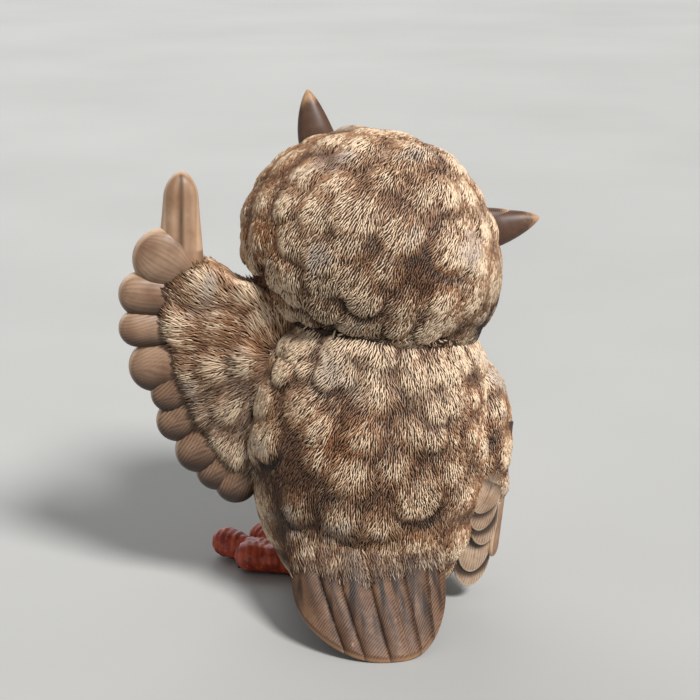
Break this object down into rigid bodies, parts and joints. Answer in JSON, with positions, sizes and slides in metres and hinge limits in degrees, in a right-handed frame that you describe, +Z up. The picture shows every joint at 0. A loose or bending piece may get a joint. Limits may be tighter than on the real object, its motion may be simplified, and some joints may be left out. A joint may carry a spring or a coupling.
{
  "type": "owl figurine",
  "caption": "Standing owl figurine in carved and painted resin, head tilted, one wing raised in a wave, the other folded, with a fanned tail that reaches the ground.",
  "frame": {"origin": "on the ground, in the middle of the felt pad under the torso", "axes": "+Z up; the owl faces -Y and its tail points to +Y; its raised left wing is at +X"},
  "size_m": [0.1338, 0.1119, 0.1629],
  "materials": {
    "plumage": "carved resin, painted mid brown with a dark wash in the cuts and cream dry-brushed on the tufts",
    "quill": "smooth carved resin feathers, painted brown with darker streaks and light tan edges, satin",
    "horn": "smooth resin, dark brown with light tan tips, satin",
    "foot": "resin painted orange-red, with a brown wash in the creases, satin",
    "beak": "resin painted ochre, darker at the root, satin",
    "eye": "clear polished cabochon",
    "iris": "painted disc, amber ring around a black pupil",
    "pin": "plain cut steel rod",
    "casting": "unpainted cream resin",
    "felt": "dark green wool felt"
  },
  "bodies": {
    "root": {"torso_shell": "plumage", "head_shell": "plumage", "raised_left_wing": "plumage", "folded_right_wing": "quill", "tail_fan": "quill", "left_ear_tuft": "horn", "right_ear_tuft": "horn", "left_foot": "foot", "right_foot": "foot", "beak": "beak", "left_eye": "eye", "right_eye": "eye", "left_iris_disc": "iris", "right_iris_disc": "iris", "neck_pin": "pin", "wing_pin_1": "pin", "wing_pin_2": "pin", "base_plug": "casting", "felt_pad": "felt"}
  },
  "joints": []
}
